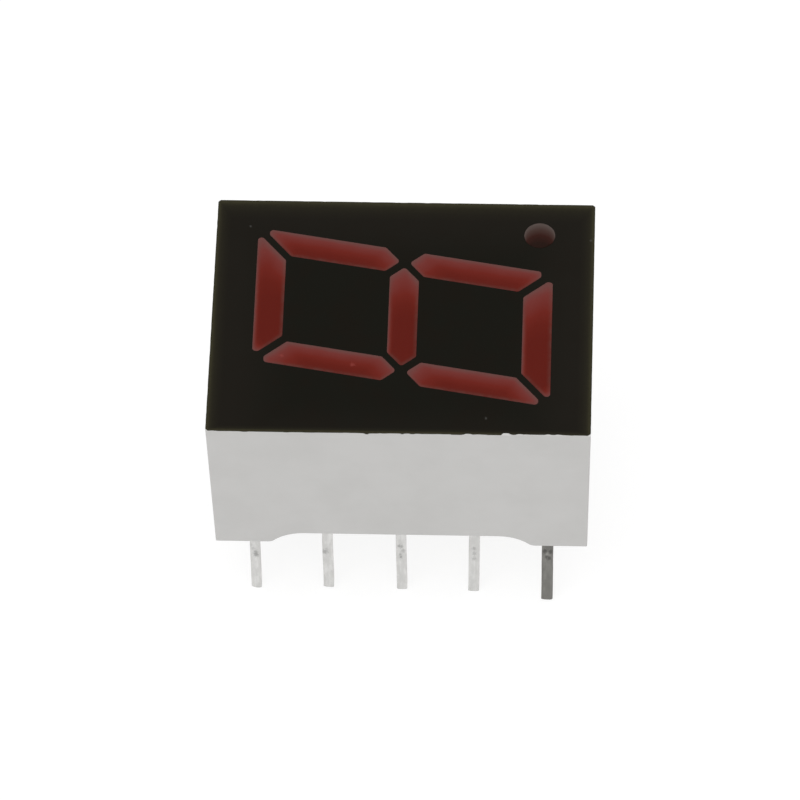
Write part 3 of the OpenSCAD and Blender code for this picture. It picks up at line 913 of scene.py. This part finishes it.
# For leads as they were sheared: how much shorter the tip is, and how far it slants
TIP_CUTS = {
    1: (0.0, 0.07), 2: (0.16, 0.02), 3: (0.05, 0.0), 4: (0.02, 0.005), 5: (0.10, 0.01),
    6: (0.05, -0.03), 7: (0.09, 0.02), 8: (0.02, 0.05), 9: (0.07, 0.0), 10: (0.03, -0.04),
}
# For leads as they were stamped and handled: how much narrower the leg is, and how far it is
# bowed to the display's top under the case and at its tip
LEG_BOWS = {
    1: (0.045, 0.020, 0.000), 2: (0.035, 0.028, -0.024), 3: (0.035, 0.030, -0.004),
    4: (0.015, 0.012, -0.006), 5: (0.0, 0.018, -0.022),
    6: (0.020, 0.010, -0.012), 7: (0.010, -0.014, 0.010), 8: (0.030, 0.016, 0.004),
    9: (0.025, -0.010, 0.012), 10: (0.015, 0.018, -0.010),
}
TIP_LINES = (-0.8, -0.45, 0.0, 0.45, 0.8)  # where a tip is cut along, as shares of its half width
TIP_CROWN = 0.045  # how much shorter a tip is at its worn corners
BOW_TOP = 0.9  # a leg has its upper bow this far below the seating plane
EDGE_WAVES = 2.2  # waves to the millimetre in a leg's stamped edges
SHEET_WAVES = 0.9  # waves to the millimetre in its sheet
LEAD_SHARP = math.radians(50)  # an edge to be rolled turns by more than this


def lead_number(place):
    """Which lead a place on a leg belongs to, counted as on the real package."""
    row = round(place.y / LEAD_PITCH)
    return 3 - row if place.x < 0 else 8 + row


def lead_place(number):
    """Where a lead stands on the seating plane, in millimetres."""
    if number <= 5:
        return -ROW_X, (3 - number) * LEAD_PITCH
    return ROW_X, (number - 8) * LEAD_PITCH


def leg_leans(verts, tip):
    """How far each leg leans along its row, as millimetres for each millimetre of its length."""
    feet = {}
    for vert in verts:
        if vert.co.z < tip + WELD:
            feet.setdefault(lead_number(vert.co), []).append(vert.co.y)
    drop = POTTING_LEVEL - tip
    return {
        number: ((min(foot) + max(foot)) / 2 - lead_place(number)[1]) / drop
        for number, foot in feet.items()
    }


def shape_leg(vert, tip, lean, waviness):
    """Moves one point of a leg for its sheared tip, its width, its bow and its slight waver."""
    number = lead_number(vert.co)
    middle = lead_place(number)[1] + lean * (POTTING_LEVEL - vert.co.z)
    across = (vert.co.y - middle) / (LEAD_WIDTH / 2)
    shorter, slant = TIP_CUTS[number]
    narrower, top_bow, tip_bow = LEG_BOWS[number]
    near_tip = 1 - smooth_step(vert.co.z, tip, tip + TIP_RUN)
    down = smooth_step(-vert.co.z, -POTTING_LEVEL, BOW_TOP)
    along = smooth_step(-vert.co.z, BOW_TOP, -tip)
    # the first coordinate is a place in the noise for each lead, so that no two waver alike
    waver = noise(Vector((number * 7.0, across, vert.co.z * EDGE_WAVES)))
    wave = noise(Vector((number * 3.0 + 50, 0, vert.co.z * SHEET_WAVES)))
    vert.co.z += near_tip * (max(0.0, shorter + slant * across) + TIP_CROWN * across ** 4)
    vert.co.y += down * (top_bow + (tip_bow - top_bow) * along - across * narrower / 2)
    vert.co.y += down * waver * waviness
    vert.co.x += down * wave * waviness * 2


def finish_leads(leads):
    """The stamped leads, their edges rolled, their legs as bent and sheared as in use."""
    tin = tinned_metal("satin_tin", leads.tin, leads.grey_tin, LEFT_STAINS, RIGHT_STAINS)
    dark = tinned_metal(
        "darkened_tin", leads.dark_tin, scaled(leads.dark_tin, DARK_DULLER), DARK_LEAD_STAINS,
        shines=DARK_LEAD_SHINES)
    tip = min(box_of(node)[0].z for node in LEADS)
    cuts = math.floor((POTTING_LEVEL - tip) / LEG_STEP)

    def on_leg(edge):
        return all(vert.co.z < POTTING_LEVEL + WELD for vert in edge.verts)

    for node in LEADS:
        made = node_mesh(node)
        round_edges(made, on_leg, LEAD_SHARP, leads.edge_roll)
        for step in range(1, cuts):
            cut_faces(made, made.faces[:], Vector((0, 0, tip + step * LEG_STEP)), Vector((0, 0, 1)))
        leans = leg_leans(made.verts, tip)
        for number, lean in leans.items():
            middle = lead_place(number)[1] + lean * (POTTING_LEVEL - tip)
            for line in TIP_LINES:
                ends = [
                    face for face in made.faces
                    if lead_number(face.calc_center_median()) == number
                    and all(vert.co.z < tip + TIP_RUN for vert in face.verts)
                ]
                place = Vector((0, middle + line * LEAD_WIDTH / 2, 0))
                cut_faces(made, ends, place, Vector((0, 1, 0)))
        for vert in made.verts:
            if vert.co.z < POTTING_LEVEL - WELD:
                shape_leg(vert, tip, leans[lead_number(vert.co)], leads.waviness / MM)
        finish = (dark, "lead_5_metal") if node == DARK_LEAD else (tin, "lead_metal")
        add_piece("tinned_" + node, made, *finish, [node], rounded=True)


# ---- potting

SHADE_STEP = 0.16  # side of the squares that hold the shade of the frame
SIGHT = 3.0  # how far into the resin the frame can be made out
SIGHT_LOSS = 0.6  # how much of it is lost to sight at that distance
SIGHT_START = 0.02  # sight lines start this far inside the resin
# Slant and turn of the sight lines in degrees: one straight in, and a ring at each of two slants
SIGHT_LINES = [(0, 0), *((slant, turn) for slant in (12, 24) for turn in range(0, 360, 45))]


def frame_shadow(place, leads):
    """How much of the lead frame shows through the resin at a place, from 0 to 1."""
    start = Vector((place.x, place.y, POTTING_LEVEL + SIGHT_START))
    total = 0.0
    for slant, turn in SIGHT_LINES:
        way = Euler((math.radians(slant), 0, math.radians(turn))).to_matrix().col[2]
        hit = leads.ray_cast(start, way, SIGHT)
        if hit[0]:
            total += 1 - hit[3] / SIGHT * SIGHT_LOSS
    return total / len(SIGHT_LINES)


SKIRT_SIDES = 24
SKIRT_ROWS = 6  # rows of faces from the lead outwards
SKIRT_CROWDING = 1.6  # how much closer the rows lie near the lead
SKIRT_HOLLOW = 1.8  # how hollow the slope of the resin is
SKIRT_INSIDE = 0.01  # the skirt starts this far inside the lead, in millimetres
SKIRT_SUNK = 0.012  # and ends this far inside the potting
SKIRT_RAGGED = 0.25  # how much its reach and height vary round the lead


def add_skirt(made, number, potting):
    """The skirt of resin round one lead, where it crept along the metal."""
    x, y = lead_place(number)
    reach = potting.skirt_reach / MM
    climb = potting.skirt_height / MM
    rows = []
    for step in range(SKIRT_ROWS + 1):
        away = step / SKIRT_ROWS
        offset = reach * away ** SKIRT_CROWDING - SKIRT_INSIDE
        fall = climb * (1 - away) ** SKIRT_HOLLOW - SKIRT_SUNK * away
        places = []  # each row starts from the lead's own outline, its corners cut off
        for side in range(SKIRT_SIDES):
            turn = 2 * math.pi * side / SKIRT_SIDES
            out = Vector((math.cos(turn), math.sin(turn)))
            corner = Vector((
                math.copysign(min(abs(out.x) * 2, 1) * SHEET / 2, out.x),
                math.copysign(min(abs(out.y) * 2, 1) * LEAD_WIDTH / 2, out.y)))
            ragged = 1 + SKIRT_RAGGED * noise(Vector((number * 5.0, out.x, out.y)))
            spot = Vector((x, y)) + corner + out * offset * ragged
            places.append((*spot, POTTING_LEVEL - fall * ragged))
        rows.append(add_row(made, places))
    for one, other in zip(rows, rows[1:]):
        bridge(made, one, other)
    made.faces.new(rows[-1])
    made.faces.new(rows[0])


def pour_potting(potting):
    """The potting with the frame's shade in it, and a skirt of resin round each lead."""
    resin = potting_resin(potting)
    made = node_mesh("back_potting")
    shade = made.verts.layers.float.new("frame_shade")

    def face_of_resin():
        return level_faces(made, POTTING_LEVEL, up=False)

    cut_in_squares(made, face_of_resin, SHADE_STEP)
    joined = joined_nodes(LEADS)
    leads = BVHTree.FromBMesh(joined)
    joined.free()
    for vert in verts_of(face_of_resin()):
        vert[shade] = frame_shadow(vert.co, leads)
    add_piece("potting_fill", made, resin, "potting_resin", ["back_potting"])
    skirts = bmesh.new()
    for number in range(1, 11):
        add_skirt(skirts, number, potting)
    bmesh.ops.recalc_face_normals(skirts, faces=skirts.faces)
    add_piece("potting_skirts", skirts, resin, "potting_resin")


def dress_dice(potting):
    """The dice and their wires, which stay as the frame has them and get a finish."""
    for names, material in ((DICE, emitter_die(potting)), (WIRES, gold_wire(potting))):
        for name in names:
            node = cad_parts[name]
            if not node.material_slots:
                node.data.materials.append(material)
            for held in node.material_slots:
                held.material = material


# ---- stage

FLOOR_SIDE = 0.8  # sizes and places of the stage are in metres
FLOOR_CELLS = 8  # squares along each side of the floor
PAPER_SHADE = 0.985  # colour of the floor's darker fibres as a share of its own
WHITE = (1.0,) * 4
KEY_PLACE = (-0.10, 0.03, 0.30)
KEY_SIZE = 0.26
FILL_PLACE = (0.26, -0.10, 0.20)
FILL_SIZE = 0.22
CLIP = 100  # the camera sees from this part of its distance to this many times it


def floor_finish(stage):
    """Pale paper: it lights the object as it is and shows the camera white with a soft shadow."""
    finish = Finish("pale_paper")
    fibre = finish.noise(1.5, 3.0, 0.6)
    tint = finish.mix(fibre, stage.floor, scaled(stage.floor, PAPER_SHADE))
    faint = finish.mix(stage.floor_shade, (0.0,) * 3, tint)
    plain = finish.add("BsdfDiffuse", {"Color": tint})
    own = finish.add("Emission", {"Strength": stage.floor_light})
    soft = finish.add("BsdfDiffuse", {"Color": faint})
    bright = finish.add("AddShader", {0: own.outputs[0], 1: soft.outputs[0]})
    finish.add("OutputMaterial", {"Surface": finish.lit_and_seen(plain, bright)})
    return finish.material


def lay_floor(stage):
    """A level floor under the tips of the leads."""
    made = bmesh.new()
    bmesh.ops.create_grid(
        made, x_segments=FLOOR_CELLS, y_segments=FLOOR_CELLS, size=FLOOR_SIDE / 2)
    floor = put_in_scene("floor", finished_mesh("floor", made, floor_finish(stage)))
    floor.location.z = cad_box[0].z


def light_sky(stage):
    """Light from all round, which the camera sees as white."""
    world = bpy.data.worlds.new("white_sky")
    world.use_nodes = True
    sky = Wiring(world.node_tree)
    lit = sky.add("Background", {"Color": WHITE, "Strength": stage.sky})
    seen = sky.add("Background", {"Color": WHITE, "Strength": 1.0})
    sky.add("OutputWorld", {"Surface": sky.lit_and_seen(lit, seen)})
    bpy.context.scene.world = world


def hang_lamp(name, place, size, power):
    """A soft square lamp that looks at the middle of the seating plane."""
    lamp = bpy.data.lights.new(name, "AREA")
    lamp.size = size
    lamp.energy = power
    hung = put_in_scene(name, lamp)
    hung.location = place
    hung.rotation_euler = (-Vector(place)).to_track_quat("-Z", "Y").to_euler()


def place_camera(stage):
    """The camera looks down on the left wall and the face, aimed beside the face's middle."""
    turn = Euler((math.pi / 2 - stage.elevation, 0, -math.pi / 2 + stage.turn)).to_matrix()
    turn = turn @ Matrix.Rotation(stage.roll, 3, "Z")
    right, up, back = turn.col
    middle = Vector((0, 0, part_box("black_face_coat")[1].z))
    seat = middle + stage.aim_right * right - stage.aim_below * up + stage.distance * back
    lens = bpy.data.cameras.new("camera")
    lens.lens = stage.lens
    lens.clip_start = stage.distance / CLIP
    lens.clip_end = stage.distance * CLIP
    camera = put_in_scene("camera", lens)
    camera.matrix_world = Matrix.Translation(seat) @ turn.to_4x4()
    bpy.context.scene.camera = camera


def set_stage(stage):
    """Floor, light and camera."""
    bpy.context.scene.view_settings.view_transform = "Standard"
    lay_floor(stage)
    light_sky(stage)
    hang_lamp("key_lamp", KEY_PLACE, KEY_SIZE, stage.key)
    hang_lamp("fill_lamp", FILL_PLACE, FILL_SIZE, stage.fill)
    place_camera(stage)


# ---- operators

class DISPLAY_OT_make_case(bpy.types.Operator):
    """Make the moulded case with its edges lightly rounded"""

    bl_idname = "display.make_case"
    bl_label = "Make Case"

    def execute(self, context):
        make_case(context.scene.display_case)
        return {"FINISHED"}


class DISPLAY_OT_print_face(bpy.types.Operator):
    """Print the black face with its eight windows"""

    bl_idname = "display.print_face"
    bl_label = "Print Face"

    def execute(self, context):
        print_face(context.scene.display_face)
        return {"FINISHED"}


class DISPLAY_OT_fill_windows(bpy.types.Operator):
    """Fill the seven bars and the decimal point with tinted resin"""

    bl_idname = "display.fill_windows"
    bl_label = "Fill Windows"

    def execute(self, context):
        fill_windows(context.scene.display_resin)
        return {"FINISHED"}


class DISPLAY_OT_finish_leads(bpy.types.Operator):
    """Finish the ten stamped and tinned leads"""

    bl_idname = "display.finish_leads"
    bl_label = "Finish Leads"

    def execute(self, context):
        finish_leads(context.scene.display_leads)
        return {"FINISHED"}


class DISPLAY_OT_pour_potting(bpy.types.Operator):
    """Pour the potting and its skirts round the leads"""

    bl_idname = "display.pour_potting"
    bl_label = "Pour Potting"

    def execute(self, context):
        pour_potting(context.scene.display_potting)
        return {"FINISHED"}


class DISPLAY_OT_dress_dice(bpy.types.Operator):
    """Finish the emitter dice and their gold wires"""

    bl_idname = "display.dress_dice"
    bl_label = "Finish Dice and Wires"

    def execute(self, context):
        dress_dice(context.scene.display_potting)
        return {"FINISHED"}


class DISPLAY_OT_set_stage(bpy.types.Operator):
    """Set the floor, the lamps and the camera"""

    bl_idname = "display.set_stage"
    bl_label = "Set Stage"

    def execute(self, context):
        set_stage(context.scene.display_stage)
        return {"FINISHED"}


SETTINGS = {
    "display_case": CaseSettings,
    "display_face": FaceSettings,
    "display_resin": ResinSettings,
    "display_leads": LeadSettings,
    "display_potting": PottingSettings,
    "display_stage": StageSettings,
}
OPERATORS = (
    DISPLAY_OT_make_case,
    DISPLAY_OT_print_face,
    DISPLAY_OT_fill_windows,
    DISPLAY_OT_finish_leads,
    DISPLAY_OT_pour_potting,
    DISPLAY_OT_dress_dice,
    DISPLAY_OT_set_stage,
)


class DISPLAY_PT_parts(bpy.types.Panel):
    """Every step of the display with its sizes and colours"""

    bl_idname = "DISPLAY_PT_parts"
    bl_label = "Seven Segment Display"
    bl_space_type = "VIEW_3D"
    bl_region_type = "UI"
    bl_category = "Display"

    def draw(self, context):
        for operator in OPERATORS:
            self.layout.operator(operator.bl_idname)
        for place, group in SETTINGS.items():
            box = self.layout.box()
            box.label(text=group.__doc__)
            settings = getattr(context.scene, place)
            for name in group.__annotations__:
                box.prop(settings, name)


CLASSES = (*SETTINGS.values(), *OPERATORS, DISPLAY_PT_parts)


def register():
    for kind in CLASSES:
        bpy.utils.register_class(kind)
    for place, group in SETTINGS.items():
        setattr(bpy.types.Scene, place, bpy.props.PointerProperty(type=group))


def unregister():
    for place in SETTINGS:
        delattr(bpy.types.Scene, place)
    for kind in reversed(CLASSES):
        bpy.utils.unregister_class(kind)


def main():
    """Registers the add-on and runs each step in order."""
    register()
    bpy.ops.display.set_stage()
    bpy.ops.display.make_case()
    bpy.ops.display.print_face()
    bpy.ops.display.fill_windows()
    bpy.ops.display.finish_leads()
    bpy.ops.display.pour_potting()
    bpy.ops.display.dress_dice()


if __name__ == "__main__":
    main()
